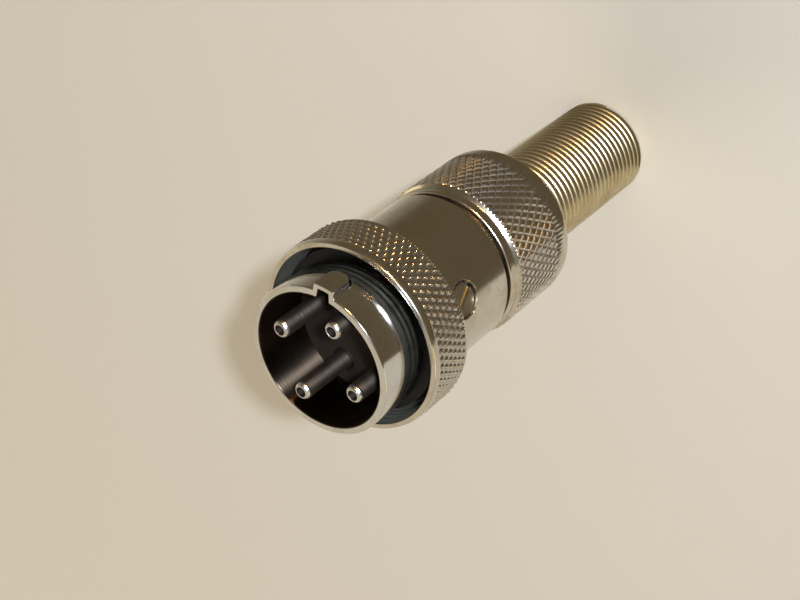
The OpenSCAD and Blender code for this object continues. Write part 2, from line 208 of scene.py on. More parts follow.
def angles_with_detail(centre, half_span, fine, coarse):
    """Directions round the axis, in radians, at a fine step near one place and coarse elsewhere."""
    near = np.arange(centre - half_span, centre + half_span, fine)
    count = int((360 - 2 * half_span) / coarse)
    far = centre + half_span + np.arange(count) * (360 - 2 * half_span) / count
    return np.radians(np.concatenate([near, far]))


def ease(x):
    """Runs from 0 to 1 with a soft start and a soft end."""
    x = np.clip(x, 0, 1)
    return x * x * (3 - 2 * x)


def helix(heights, pitch, angles):
    """Distance of each point from the nearest turn of a right-hand thread, from 0 to 1."""
    turns = heights / pitch - angles[None, :] / math.tau
    return 2 * np.abs(turns - np.round(turns))


# %% One block of rows above the other
def stacked(blocks):
    """Radius, height and cell split of all the blocks of rows, one above the other."""
    radius = np.vstack([block[0] for block in blocks])
    tall = np.vstack([block[1] for block in blocks])
    split = np.zeros(radius.shape, int)
    row = 0
    for block in blocks:
        if block[2] is not None:
            split[row:row + len(block[2])] = block[2]
        row += len(block[0])
    return radius, tall, split


def plain_block(profile, columns):
    """A block of rows that is round all the way, from a profile of radii and heights."""
    wide = np.ones(columns)[None, :]
    return profile[:, :1] * wide, profile[:, 1:] * wide, None


# %% [markdown]
# ## Knurling
# A knurl is rolled into the metal by two wheels with slanting teeth. Their grooves cross, and
# between them stand small pyramids. A bump map would look right from afar, but the outline and
# the reflections of a real knurl come from its shape, so it is modelled. The height of a point
# is its distance from the nearest groove of either wheel. On the ring the wheels bit deep and
# left points with hollow flanks. On the nut they left flat diamonds with thin grooves between.

# %% Height of the knurl over the grid
KNURL_STEPS = 4


def knurl(count, first_row, last_row, sharpness):
    """Heights from 0 in a groove to 1 on a point, on KNURL_STEPS lines of the grid for each row
    of points, and the way each cell is split so that grooves and ridges stay straight."""
    lines = int((last_row - first_row) * KNURL_STEPS) + 1
    along = first_row + np.arange(lines)[:, None] / KNURL_STEPS
    around = np.arange(2 * count * KNURL_STEPS)[None, :] / KNURL_STEPS
    first, second = (around + along) / 2, (around - along) / 2
    wave = [1 - 2 * np.abs(x - np.round(x)) for x in (first, second)]
    height = np.clip(np.minimum(*wave) / sharpness, 0, 1)
    cell = np.floor(around).astype(int) + np.floor(along[:-1]).astype(int)
    return height, np.where(cell % 2 == 0, 2, 1)


# %% [markdown]
# ## The coupling ring
# The ring carries the knurl outside and a thread inside, which shows in the gap round the
# barrel. Its front lip is polished and rounded, with a narrow flat top. The profile runs up the
# outside, over the lip, down the thread and round the web that pulls the plug home.

# %% Coupling ring: its knurl
RING_POINTS, RING_FIRST, RING_LAST = 78, 0.5, 6.5
RING_KNURL_DEPTH, RING_HOLLOW, RING_SHARPNESS = 0.3, 1.7, 0.92
RING_FRONT_BAND, RING_REAR_BAND = 0.95, 0.28

ring_angles = even_angles(2 * RING_POINTS * KNURL_STEPS)
ring_groove_r = ring_r - RING_KNURL_DEPTH
ring_height, ring_split = knurl(RING_POINTS, RING_FIRST, RING_LAST, RING_SHARPNESS)
ring_knurl_low, ring_knurl_high = ring_rear_z + RING_REAR_BAND, ring_front_z - RING_FRONT_BAND
ring_knurl_z = np.linspace(ring_knurl_low, ring_knurl_high, ring_height.shape[0])[:, None]
print("ring knurl:", RING_POINTS, "points round,",
      round(math.tau * ring_r / RING_POINTS, 2), "mm apart")

# %% Coupling ring: its outside and its lip
BODY_ROOM, RUNNING_ROOM = 0.3, 0.06
BAND_BELOW_POINTS, REAR_BAND_STEP = 0.1, 0.06
LIP_IN, LIP_BACK = 0.22, 0.72
THREAD_WALL, MOUTH_STEP, MOUTH_DEPTH = 0.85, 0.1, 0.6

rear_band_r = ring_groove_r + REAR_BAND_STEP
front_band_r = ring_r - BAND_BELOW_POINTS
thread_r = ring_r - THREAD_WALL
outer_low = rounded([(body_r + BODY_ROOM, shoulder_z, 0), (body_r + BODY_ROOM, ring_rear_z, 0.1),
                     (rear_band_r, ring_rear_z, 0.08), (rear_band_r, ring_knurl_low - 0.04, 0)])
front_round = [(front_band_r - LIP_IN * (1 - math.cos(a)),
                ring_front_z - LIP_BACK * (1 - math.sin(a)))
               for a in np.radians(np.linspace(0, 90, 10))]
mouth = rounded([(*front_round[-1], 0), (thread_r + MOUTH_STEP, ring_front_z, 0.06),
                 (thread_r + MOUTH_STEP, ring_front_z - MOUTH_DEPTH, 0)])
lip = np.array([(front_band_r, ring_knurl_high + 0.06), *front_round, *mouth[1:]])
flat_top = front_round[-1][0] - thread_r - MOUTH_STEP
print("lip:", len(lip), "rows, with a flat top of", round(flat_top, 2), "mm")

# %% Coupling ring: its thread and its web
THREAD_PITCH, THREAD_DEPTH, THREAD_ROW = 0.75, 0.18, 0.09
THREAD_START, THREAD_FADE = 0.75, 0.4
# How much darker the knurl's hollows (grime and painted shade) and thread roots (painted shade)
# are.
POINT_SHADE_AND_GRIME, THREAD_PAINTED_SHADE = 0.35, 0.6

thread_z = np.arange(ring_front_z - THREAD_START, web_front_z + 0.15, -THREAD_ROW)[:, None]
fade = np.clip((ring_front_z - THREAD_START - thread_z) / THREAD_FADE, 0, 1)
ridge = helix(thread_z, THREAD_PITCH, ring_angles)
thread = thread_r - THREAD_DEPTH * fade * np.clip((ridge - 0.15) / 0.7, 0, 1)
web = rounded([(thread_r, web_front_z, 0), (barrel_r + RUNNING_ROOM, web_front_z, 0.05),
               (barrel_r + RUNNING_ROOM, shoulder_z, 0.05)])
print("ring thread:", round((thread_z[0, 0] - thread_z[-1, 0]) / THREAD_PITCH, 1), "turns")

# %% Coupling ring: the skin
columns = len(ring_angles)
radius, tall, split = stacked([
    plain_block(outer_low, columns),
    (ring_groove_r + RING_KNURL_DEPTH * ring_height**RING_HOLLOW,
     ring_knurl_z * np.ones(columns)[None, :], ring_split),
    plain_block(lip, columns),
    (thread, thread_z * np.ones(columns)[None, :], None),
    plain_block(web, columns)])
# The knurl's hollows are painted darker as grime and painted shade, the thread as painted shade.
groove = np.zeros(radius.shape)
row = len(outer_low)
groove[row:row + len(ring_height)] = POINT_SHADE_AND_GRIME * (1 - ring_height) ** 2
row += len(ring_height) + len(lip)
groove[row:row + len(thread)] = (THREAD_PAINTED_SHADE
                                 - THREAD_PAINTED_SHADE * (thread_r - thread) / THREAD_DEPTH)
# The rows of the bore take the second material, a dark copy of the nickel: painted shade.
inside_ring = np.arange(len(radius)) >= row - 2
ring_skin = closed_skin("ring_skin", round_grid(radius, tall, ring_angles), "ring",
                        split, groove, inside_ring, sharp=75)
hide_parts("coupling_ring")

# %% [markdown]
# ## The clamp nut
# The nut has a plain collar, a small chamfered step up to the knurl, a band of flat diamonds,
# and a smooth shoulder that rounds off towards the spring. Inside it has the chamber that holds
# the spring's flare.

# %% Clamp nut: its knurl
NUT_POINTS, NUT_FIRST, NUT_LAST = 56, 0.5, 9.5
NUT_KNURL_DEPTH, NUT_SHARPNESS = 0.2, 0.45
NUT_FRONT_BAND, NUT_REAR_BAND, NUT_SHADE_AND_GRIME = 1.85, 2.9, 0.75

nut_angles = even_angles(2 * NUT_POINTS * KNURL_STEPS)
nut_height, nut_split = knurl(NUT_POINTS, NUT_FIRST, NUT_LAST, NUT_SHARPNESS)
nut_knurl_low, nut_knurl_high = nut_rear_z + NUT_REAR_BAND, nut_front_z - NUT_FRONT_BAND
nut_knurl_z = np.linspace(nut_knurl_low, nut_knurl_high, nut_height.shape[0])[:, None]
print("nut knurl:", NUT_POINTS, "points round,", round(math.tau * nut_r / NUT_POINTS, 2),
      "mm apart")

# %% Clamp nut: its profile
COLLAR_STEP, COLLAR_BACK, SHOULDER_ROUND = 0.4, 0.3, 1.5
NUT_HOLE_R, NECK_STEP, CHAMBER_ROOM = 6.3, 1.0, 0.2
CHAMBER_BELOW, CHAMBER_ABOVE, KNURL_STEP_DOWN = 2.25, 1.4, 0.1

neck_r = body_r - NECK_STEP
thread_hole_r = neck_r + RUNNING_ROOM
collar_r, collar_z = nut_r - COLLAR_STEP, nut_front_z - COLLAR_BACK
chamber_r = flange_r + CHAMBER_ROOM
chamber_low, chamber_high = clamp_washer_z - CHAMBER_BELOW, flange_z + CHAMBER_ABOVE
step_r = nut_r - KNURL_STEP_DOWN
rear = rounded([(NUT_HOLE_R, chamber_low, 0), (NUT_HOLE_R, nut_rear_z, 0.2),
                (nut_r, nut_rear_z, SHOULDER_ROUND), (nut_r, nut_knurl_low - 0.12, 0)], 8)[:-1]
front = rounded([(step_r, nut_knurl_high + 0.05, 0), (step_r, nut_knurl_high + 0.12, 0),
                 (collar_r, nut_knurl_high + 0.45, 0.06), (collar_r, collar_z, 0.3),
                 (thread_hole_r, collar_z, 0.1), (thread_hole_r, chamber_high, 0.05),
                 (chamber_r, chamber_high, 0), (chamber_r, chamber_low, 0)], 6)
print("nut collar radius", round(collar_r, 2), "chamber radius", round(chamber_r, 2))

# %% Clamp nut: the skin
columns = len(nut_angles)
radius, tall, split = stacked([
    plain_block(rear, columns),
    (nut_r - NUT_KNURL_DEPTH * (1 - nut_height), nut_knurl_z * np.ones(columns)[None, :],
     nut_split),
    plain_block(front, columns)])
# The knurl's hollows are painted darker, as grime and painted shade.
groove = np.zeros(radius.shape)
groove[len(rear):len(rear) + len(nut_height)] = NUT_SHADE_AND_GRIME * (1 - nut_height) ** 2
nut_skin = closed_skin("nut_skin", round_grid(radius, tall, nut_angles), "nut",
                       split, groove)
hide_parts("clamp_nut")

# %% [markdown]
# ## The barrel and its key
# The barrel is drawn from one tube, and its key is pressed out of the wall with a punch. So the
# key's flanks bend over in small radii, and its far end is round and slopes back to the tube.
# The grid is made fine near the key and coarse elsewhere. How far the key stands out depends on
# how far a point lies inside the outline of a tongue.

# %% Distance inside a tongue
def inside_tongue(across, along, half_width, end):
    """How far a point lies inside a tongue that runs upwards from a round end."""
    beyond = np.minimum(0, along - (end + half_width))
    return half_width - np.hypot(across, beyond)


# %% Barrel: its profile
WALL, CLIP_SEAT, CLIP_ROOM, BARREL_ROW = 0.85, 0.35, 0.02, 0.12
RIM_OUTER_ROUND, RIM_INNER_ROUND = 0.2, 0.14

barrel_angles = angles_with_detail(0, 13, 0.3, 2.5)
bore_r, seat_r = barrel_r - WALL, barrel_r - CLIP_SEAT
outside = [(barrel_r, shoulder_z), (barrel_r, clip_rear_z - CLIP_ROOM),
           (seat_r, clip_rear_z - CLIP_ROOM), (seat_r, clip_front_z + CLIP_ROOM),
           (barrel_r, clip_front_z + CLIP_ROOM)]
outside += [(barrel_r, z) for z in np.arange(clip_front_z + 0.2, rim_z - 0.2, BARREL_ROW)]
rim = [(barrel_r - RIM_OUTER_ROUND * (1 - math.cos(a)),
        rim_z - RIM_OUTER_ROUND + RIM_OUTER_ROUND * math.sin(a))
       for a in np.radians([0, 22, 45, 68, 90])]
rim += [(bore_r + RIM_INNER_ROUND, rim_z), (bore_r + 0.04, rim_z - 0.04),
        (bore_r, rim_z - RIM_INNER_ROUND)]
inside = [(bore_r, z) for z in np.arange(rim_z - 0.2, shoulder_z + 4, -BARREL_ROW)]
inside += [(bore_r, shoulder_z + 3), (bore_r, shoulder_z)]
profile = np.array(outside + rim + inside)
is_inner = np.zeros(len(profile), bool)
is_inner[len(outside) + 5:] = True
print("barrel profile:", len(profile), "rows,", len(barrel_angles), "columns")

# %% Barrel: the key and the skin
KEY_WIDTH, KEY_LENGTH, KEY_RISE, FLANK = 2.6, 3.9, 0.85, 0.38
STEEP_RUN, SOFT_RUN, INNER_RUN, INNER_EXTRA = 0.24, 0.5, 0.3, 0.2

key_end_z = rim_z - KEY_LENGTH
across = barrel_r * np.sin(barrel_angles)[None, :]
ahead = np.cos(barrel_angles)[None, :] > 0
along = profile[:, 1:]
inside_key = inside_tongue(across, along, KEY_WIDTH / 2, key_end_z)
slope_run = STEEP_RUN + SOFT_RUN * np.clip((key_end_z + KEY_WIDTH / 2 - along) / 0.8, 0, 1)
outer_key = KEY_RISE * ease(inside_key / slope_run)
inner_key = (KEY_RISE + INNER_EXTRA) * ease(
    inside_tongue(across, along, KEY_WIDTH / 2 - FLANK, key_end_z + FLANK) / INNER_RUN)
lift = np.where(is_inner[:, None], inner_key, outer_key) * ahead
# The inner rows take the second material, whose dark brown is painted shade of the deep bore.
barrel_skin = closed_skin("barrel_skin",
                          round_grid(profile[:, :1] + lift, profile[:, 1:], barrel_angles),
                          "shell", inside=is_inner)
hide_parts("barrel")

# %% [markdown]
# ## The body shell
# The body is plain, apart from one round recess with a slotted screw in it, and a fine thread on
# the neck that the nut runs on. The recess is milled straight towards the axis, and its edge is
# broken a little, which is what catches the light. A boolean cut would leave long thin faces
# there, so the recess is pressed into the grid, which is fine round it. The neck's thread has
# one millimetre a turn, as far as the nut travels in one.

# %% Body shell: its profile
SCREW_TURN = -64
SCREW_BACK, RECESS_REACH = 4.3, 2.4
NUT_ROOM, BODY_WALL, SEAT_ROOM = 0.5, 2.25, 0.02

screw_z = shoulder_z - SCREW_BACK
body_rear_z = nut_front_z + NUT_ROOM
body_bore_r, spigot_r = body_r - BODY_WALL, bore_r - SEAT_ROOM
body_angles = angles_with_detail(SCREW_TURN, 15, 0.4, 3)
recess_rows = np.arange(screw_z + RECESS_REACH, screw_z - RECESS_REACH, -0.06)
front = rounded([(body_bore_r, spigot_z, 0), (spigot_r, spigot_z, 0.1),
                 (spigot_r, shoulder_z, 0), (body_r, shoulder_z, 0.1)])
plain = np.array([(body_r, z) for z in [*np.linspace(shoulder_z - 0.4, screw_z + 2.6, 4),
                                        *recess_rows,
                                        *np.linspace(screw_z - 2.6, body_rear_z + 0.6, 6)]])
step = rounded([(body_r, body_rear_z + 0.5, 0), (body_r, body_rear_z, 0.15),
                (neck_r, body_rear_z, 0)])[1:]
neck_z = np.arange(body_rear_z - 0.3, neck_end_z + 0.2, -0.1)
neck = np.array([(neck_r, z) for z in neck_z])
rear = rounded([(neck_r, neck_end_z, 0.12), (body_bore_r + 0.4, neck_end_z, 0),
                (body_bore_r, neck_end_z + 5, 0), (body_bore_r, screw_z, 0)])[:-1]
profile = np.vstack([front, plain, step, neck, rear])
print("body profile:", len(profile), "rows,", len(body_angles), "columns")

# %% Body shell: the recess, the neck thread and the skin
RECESS_R, RECESS_DEPTH, EDGE_BREAK = 2.05, 1.05, 0.12
NECK_PITCH, NECK_THREAD_DEPTH, RECESS_SHADE_AND_GRIME = 1.0, 0.3, 0.45

turn = body_angles - math.radians(SCREW_TURN)
across = body_r * np.sin(turn)[None, :]
near = np.cos(turn)[None, :] > 0
deep = ease((RECESS_R - np.hypot(across, profile[:, 1:] - screw_z)) / EDGE_BREAK + 0.5) * near
deep[:len(front)] = 0
deep[len(front) + len(plain):] = 0
floor_r = (body_r - RECESS_DEPTH) / np.maximum(np.cos(turn)[None, :], 0.5)
radius = profile[:, :1] * np.ones(len(body_angles))[None, :]
radius = radius * (1 - deep) + floor_r * deep
first = len(front) + len(plain) + len(step)
ridge = helix(neck_z[:, None], NECK_PITCH, body_angles)
radius[first:first + len(neck)] -= NECK_THREAD_DEPTH * np.clip(ridge * 1.2 - 0.2, 0, 1)
# The recess is painted darker towards its floor as grime and shade, the neck in the gap darkest.
body_shade_and_grime = deep * RECESS_SHADE_AND_GRIME
body_shade_and_grime[first - 2:first + len(neck)] = 1
body_skin = closed_skin("body_skin", round_grid(radius, profile[:, 1:], body_angles), "shell",
                        groove=body_shade_and_grime)
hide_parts("body_shell")

# %% [markdown]
# ## The contact pins
# Each pin is turned from brass bar and silver plated. Its tip is rounded over so that it finds
# the socket, with a blind hole left by the centre drill. A collar keeps it in the insulator, and
# the solder cup at its other end is cut half away for the wire. The same grid makes it all:
# points on the axis are merged, and the open half of the cup is a few columns pushed up.

# %% Contact pins
PIN_R, COLLAR_R, COLLAR_LENGTH, COLLAR_EDGE = 1.0, 1.35, 2, 0.1
HOLE_R, HOLE_DEPTH, HOLE_TAPER, DOME = 0.6, 2.5, 0.03, 0.55
CUP_R, CUP_OPEN, CUP_DEPTH = 0.7, 2.5, 3.5
REAR_ROWS, HOLE_ROWS = 10, 4

insert_face_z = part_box("insulator")[1][2] / MM
pin_angles = np.radians([*range(0, 90, 10), 89, 91, *range(100, 270, 10), 269, 271,
                         *range(280, 360, 10)])
open_side = np.cos(pin_angles) < 0


def pin_profile(end_z, tip_z):
    """Closed profile of a pin from the bottom of its cup, up its outside, to its blind hole."""
    face_z = insert_face_z - 0.02
    dome = [(HOLE_R + (PIN_R - HOLE_R) * math.cos(a), tip_z - DOME * (1 - math.sin(a)))
            for a in np.radians(np.linspace(0, 90, 9))]
    shaft = [(PIN_R, z) for z in np.arange(insert_face_z + 0.05, tip_z - DOME, 0.25)]
    cup = [(0, end_z + CUP_DEPTH), (CUP_R, end_z + CUP_DEPTH - 0.3), (CUP_R, end_z),
           (PIN_R, end_z), (PIN_R, end_z + CUP_DEPTH)]
    collar = [(PIN_R, insert_face_z - COLLAR_LENGTH), (COLLAR_R, insert_face_z - COLLAR_LENGTH),
              (COLLAR_R, insert_face_z - 0.12), (COLLAR_R - COLLAR_EDGE, face_z), (PIN_R, face_z)]
    hole = [(HOLE_R - 0.01, tip_z - 0.02), (HOLE_R - HOLE_TAPER, tip_z - 0.05),
            (HOLE_R - HOLE_TAPER, tip_z - HOLE_DEPTH), (0, tip_z - HOLE_DEPTH - 0.3)]
    return np.array(cup + collar + shaft + dome + hole), len(shaft)


def pin_skin(node):
    """The skin of one pin: bright on its tip, and a darker silver elsewhere as painted shade of the
    deep barrel. Its hole, its cup and its collar are painted darkest, also as painted shade."""
    low, high = (np.array(corner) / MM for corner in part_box(node))
    profile, shaft_rows = pin_profile(low[2], high[2])
    height = profile[:, 1:] * np.ones(len(pin_angles))
    height[2:4, open_side] += CUP_OPEN
    # The cup, collar, shaft and hole take the darker silver: painted shade of the deep barrel.
    painted_shade_rows = np.arange(len(profile)) < REAR_ROWS + shaft_rows
    painted_shade_rows[-HOLE_ROWS:] = True
    points = round_grid(profile[:, :1], height, pin_angles)
    points[..., :2] += (low[:2] + high[:2]) / 2
    # The cup, the collar and the hole are painted darkest: painted shade.
    shaded = np.zeros(height.shape)
    shaded[:REAR_ROWS + 1], shaded[-HOLE_ROWS:] = 1, 1
    skin = closed_skin(node + "_skin", points, "shell", groove=shaded,
                       inside=painted_shade_rows)
    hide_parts(node)
    return skin


pin_skins = [pin_skin(f"contact_pin_{k}") for k in range(1, 5)]
print(len(pin_skins), "pins of radius", PIN_R, "mm, each with a hole", HOLE_DEPTH, "mm deep")

# %% [markdown]
# ## The bend spring
# The spring is drawn wire wound so close that its turns nearly touch. Its foot is ground flat,
# and its last turns flare out inside the nut, which holds them. Winding stretches the outer
# side of the wire and leaves it a little flat. A curve with a bevel could draw the coil, but its
# foot couldn't be ground flat, so here the wire's section is swept along the helix.

# %% Bend spring: the wire along its helix
WIRE, PITCH, GROUND = 0.86, 0.9, 0.25
COIL_R, FLARE_R, FLARE_RUN, FLARE_LEAD = 5.57, 6.42, 0.75, 0.15
SIDES, STEPS = 16, 48
FLATNESS, CREST = 0.85, 0.55

spring_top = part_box("bend_spring")[1][2] / MM
turns = (spring_top - WIRE / 2 + GROUND) / PITCH
opening = turns - 1.5 - FLARE_LEAD
turn = np.linspace(0, turns, int(turns * STEPS))
coil = COIL_R + (FLARE_R - COIL_R) * np.clip((turn - opening) / FLARE_RUN, 0, 1)
section = even_angles(SIDES) + math.pi / SIDES
out, up = (np.sign(x) * np.abs(x) ** FLATNESS for x in (np.cos(section), np.sin(section)))
out = np.where(out > 0, 1 - CREST + CREST * out, 1 - CREST + (2 - CREST) * out)
radius = coil[:, None] + WIRE / 2 * out[None, :]
tall = np.maximum(PITCH * turn[:, None] - GROUND + WIRE / 2 * up[None, :], 0)
tall = np.minimum(tall, spring_top)
angle = math.tau * turn[:, None]
points = np.stack([radius * np.cos(angle), radius * np.sin(angle), tall], axis=-1) * MM
print("spring turns", round(turns, 2))

# %% Bend spring: the mesh
index = np.arange(len(turn) * SIDES).reshape(len(turn), SIDES)
right = np.roll(index, -1, axis=1)
faces = np.stack([index[:-1], right[:-1], right[1:], index[1:]], axis=-1).reshape(-1, 4).tolist()
faces += [index[0][::-1].tolist(), index[-1].tolist()]
mesh = bpy.data.meshes.new("spring_wire")
mesh.from_pydata(points.reshape(-1, 3).tolist(), [], faces)
mesh.shade_smooth()
mesh.set_sharp_from_angle(angle=math.radians(50))
spring_wire = bpy.data.objects.new("spring_wire", mesh)
bpy.context.scene.collection.objects.link(spring_wire)
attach(spring_wire, "relief")
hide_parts("bend_spring")
print("spring faces", len(faces))

# %% [markdown]
# ## Colours and nodes
# Hex colours are how a screen shows them, and shaders want linear light, so one function turns
# the first into the second. One more adds a node with its settings and links. Textures are
# placed by the object's own coordinates, so each pattern has its real size in millimetres.

# %% Colour and node helpers
def linear(hex_colour):
    """Linear red, green, blue and alpha of an sRGB hex colour."""
    parts = [int(hex_colour[k:k + 2], 16) / 255 for k in (1, 3, 5)]
    return [*(c / 12.92 if c < 0.04045 else ((c + 0.055) / 1.055) ** 2.4 for c in parts), 1]


def add(tree, kind, inputs=None, links=None, **settings):
    """Adds one node, with its settings, the values of its inputs and the links into them."""
    node = tree.nodes.new(kind)
    for name, value in settings.items():
        setattr(node, name, value)
    for name, value in (inputs or {}).items():
        node.inputs[name].default_value = value
    for name, source in (links or {}).items():
        tree.links.new(source, node.inputs[name])
    return node


def new_material(name, shader_kind="ShaderNodeBsdfPrincipled"):
    """An empty material and its tree, with one shader wired to the output."""
    material = bpy.data.materials.new(name)
    material.use_nodes = True
    tree = material.node_tree
    tree.nodes.clear()
    shader = add(tree, shader_kind)
    add(tree, "ShaderNodeOutputMaterial", links={"Surface": shader.outputs[0]})
    return material, tree, shader


def per_metre(size_mm):
    """Texture scale at which one feature of a pattern is this many millimetres across."""
    return 1 / (size_mm * MM)


print("mid grey is", [round(c, 3) for c in linear("#808080")])

# %% [markdown]
# ## Plated and turned metal
# Nickel plate on turned brass is a slightly yellow mirror. The tool's feed leaves fine rings
# round the axis, handling leaves hazy patches, and specks of the plating are gone. Every groove is
# painted darker, partly as old grime and partly as painted shade. The rings are a noise stretched
# wide across the axis, so that it lies in thin layers. The real feed is about 0.1 mm, too fine to
# show in the render, so it is drawn as coarse as it needs to show: 0.2 to 0.3 mm, and 0.6 mm on
# the spring. The haze goes to the roughness, the grime and the painted shade to the colour. Deep
# rings spread a highlight along the axis and keep it narrow round it, so the shader gets
# anisotropy about the axis there.

# %% Plated metal: colour and haze
SPECK_MM = 0.35
# How much darker a groove is painted, as grime and painted shade.
GROOVE_SHADE_AND_DIRT, GROOVE_DULLNESS = 0.85, 0.3


def aged_plate(tree, shader, clean, worn, grime_and_shade, roughness, haze, patch_mm):
    """Wires the colour and the roughness: worn patches, specks, and grooves painted darker as grime
    and painted shade.
    """
    place = add(tree, "ShaderNodeTexCoord").outputs["Object"]
    groove = add(tree, "ShaderNodeAttribute", attribute_name="groove").outputs["Fac"]
    patches = add(tree, "ShaderNodeTexNoise", {"Scale": per_metre(patch_mm), "Detail": 5,
                                               "Roughness": 0.6}, {"Vector": place})
    specks = add(tree, "ShaderNodeTexNoise", {"Scale": per_metre(SPECK_MM), "Detail": 3},
                 {"Vector": place})
    hazy = add(tree, "ShaderNodeMapRange", {"From Min": 0.35, "From Max": 0.7,
                                            "To Min": roughness, "To Max": roughness + haze},
               {"Value": patches.outputs["Fac"]})
    dull = add(tree, "ShaderNodeMath", {1: GROOVE_DULLNESS},
               {0: groove, 2: hazy.outputs["Result"]}, operation="MULTIPLY_ADD")
    tree.links.new(dull.outputs[0], shader.inputs["Roughness"])
    wear = add(tree, "ShaderNodeMapRange", {"From Min": 0.45, "From Max": 0.75},
               {"Value": patches.outputs["Fac"]})
    tone = add(tree, "ShaderNodeMix", {"A": linear(clean), "B": linear(worn)},
               {"Factor": wear.outputs["Result"]}, data_type="RGBA")
    pit = add(tree, "ShaderNodeMapRange", {"From Min": 0.64, "From Max": 0.78, "To Max": 0.5},
              {"Value": specks.outputs["Fac"]})
    shade_and_dirt = add(tree, "ShaderNodeMath", {1: GROOVE_SHADE_AND_DIRT}, {0: groove, 2: pit.outputs["Result"]},
               operation="MULTIPLY_ADD", use_clamp=True)
    colour = add(tree, "ShaderNodeMix", {"B": linear(grime_and_shade)},
                 {"A": tone.outputs["Result"], "Factor": shade_and_dirt.outputs[0]}, data_type="RGBA")
    tree.links.new(colour.outputs["Result"], shader.inputs["Base Color"])
    return place


# %% Plated metal: turning rings and the whole finish
RING_FLATTENING = 0.04
QUARTER_TURN = 0.25


def plated_metal(name, clean, worn, grime_and_shade, roughness, haze, ring_mm, ring_depth_mm, patch_mm=2.5,
                 streak=0.0):
    """Worn metal plate over turned or drawn metal. streak is how far a highlight stretches."""
    material, tree, shader = new_material(name)
    shader.inputs["Metallic"].default_value = 1
    shader.inputs["Anisotropic"].default_value = streak
    if streak:
        shader.inputs["Anisotropic Rotation"].default_value = QUARTER_TURN
        turned = add(tree, "ShaderNodeTangent", direction_type="RADIAL", axis="Z")
        tree.links.new(turned.outputs["Tangent"], shader.inputs["Tangent"])
    place = aged_plate(tree, shader, clean, worn, grime_and_shade, roughness, haze, patch_mm)
    flat = add(tree, "ShaderNodeMapping", {"Scale": (RING_FLATTENING, RING_FLATTENING, 1)},
               {"Vector": place})
    rings = add(tree, "ShaderNodeTexNoise", {"Scale": per_metre(ring_mm), "Detail": 3},
                {"Vector": flat.outputs["Vector"]})
    bump = add(tree, "ShaderNodeBump", {"Strength": 1, "Distance": ring_depth_mm * MM},
               {"Height": rings.outputs["Fac"]})
    tree.links.new(bump.outputs["Normal"], shader.inputs["Normal"])
    print(name, "- roughness", roughness, "to", round(roughness + haze, 2))
    return material


# %% The bright metals
# Turned brass under nickel: a satin mirror, warm, its grooves painted brown as grime and shade.
nickel = plated_metal("nickel plate on turned brass", "#cdc8bd", "#b8ae98", "#4a4031",
                      0.14, 0.1, 0.3, 0.003)
# Drawn tube polished before plating: the brightest piece, which mirrors floor and room clearly.
bright = plated_metal("bright nickel on drawn brass", "#d3d3d1", "#c6c2b8", "#4b4238",
                      0.09, 0.05, 0.25, 0.001)
# Thin plate on drawn wire: it has yellowed, so each turn has a soft golden light.
wire = plated_metal("plated spring wire", "#bdb08d", "#a08c62", "#5a4b2c",
                    0.3, 0.1, 0.6, 0.002, 4)
# Silver on the pin tips: white, and rubbed soft by the sockets.
silver = plated_metal("silver plate on turned brass", "#cfccc8", "#a8a39b", "#1b1713",
                      0.22, 0.1, 0.22, 0.07, 1.2)

# %% The dull metals
# Zinc plate on steel: grey-brown and dull, a screw that has been turned now and then. Its dark
# grey-brown is partly painted shade of the recess.
steel = plated_metal("zinc plate on steel", "#857a62", "#635845", "#3c3832",
                     0.32, 0.12, 0.2, 0.003)
# Blackened spring steel: almost black, with a faint shine. Its near black is partly its finish
# and partly painted shade of the gap round the barrel.
blackened_shaded = plated_metal("blackened spring steel", "#242526", "#2c2b2a", "#141414",
                         0.25, 0.1, 0.2, 0.002)
# The ring's bore and thread: nickelled brass made dark as painted shade of the deep gap, and
# soft in its shine.
shade_painted = plated_metal("oiled thread in nickelled brass", "#626258", "#484840", "#141413",
                     0.5, 0.15, 0.2, 0.003)
# The inside of the tube was never polished. Its dark brown is painted shade of the deep bore,
# with one streak of light along it, crossed by the rings that the tool left.
unpolished_shaded = plated_metal("unpolished inside of the drawn tube", "#4e4337", "#372d24", "#2c241d",
                          0.24, 0.04, 0.3, 0.03, streak=1)
# The same silver, painted dark brown on the shafts and in the holes as painted shade of the deep
# barrel.
shade_darkened = plated_metal("tarnished silver on the pin shafts", "#5f554a", "#453b32", "#110e0c",
                         0.42, 0.12, 0.22, 0.05, 1.2, 0.5)

# %% [markdown]
# ## Putting the metals on
# A skin gets one material slot, or two where rows were marked inside. A material can belong to
# the mesh or to the object. The object's slot is the one used here, so that the mesh of a CAD
# solid stays as it is.

# %% Put the metals on
def finish_with(materials, *pieces):
    """Puts a list of materials in a piece's slots, in order."""
    for piece in pieces:
        while len(piece.material_slots) < len(materials):
            piece.data.materials.append(None)
        for slot, material in zip(piece.material_slots, materials):
            slot.link = "OBJECT"
            slot.material = material
        print(piece.name, "is", ", ".join(m.name for m in materials))


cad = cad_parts
# The second slots hold the darker copies of the metals: painted shade of the deep places.
finish_with([nickel, shade_painted], ring_skin)
finish_with([nickel], nut_skin, body_skin)
finish_with([bright, unpolished_shaded], barrel_skin)
finish_with([wire], spring_wire)
finish_with([blackened_shaded], cad["thrust_washer"], cad["retaining_clip"])
finish_with([steel], cad["clamp_washer"], cad["insert_screw"])
finish_with([silver, shade_darkened], *pin_skins)

# %% [markdown]
# ## Moulded pieces
# The insulator is phenolic resin, pressed in a hot mould. It is black-brown and satin, with
# faint cloudy flow marks, and it hardly shines. The clamp ferrule is injection moulded nylon:
# black, and a little smoother, so it shines a little more.

# %% Phenolic and nylon
CLOUD_MM = 1.8
FAINT_SHINE = 0.12


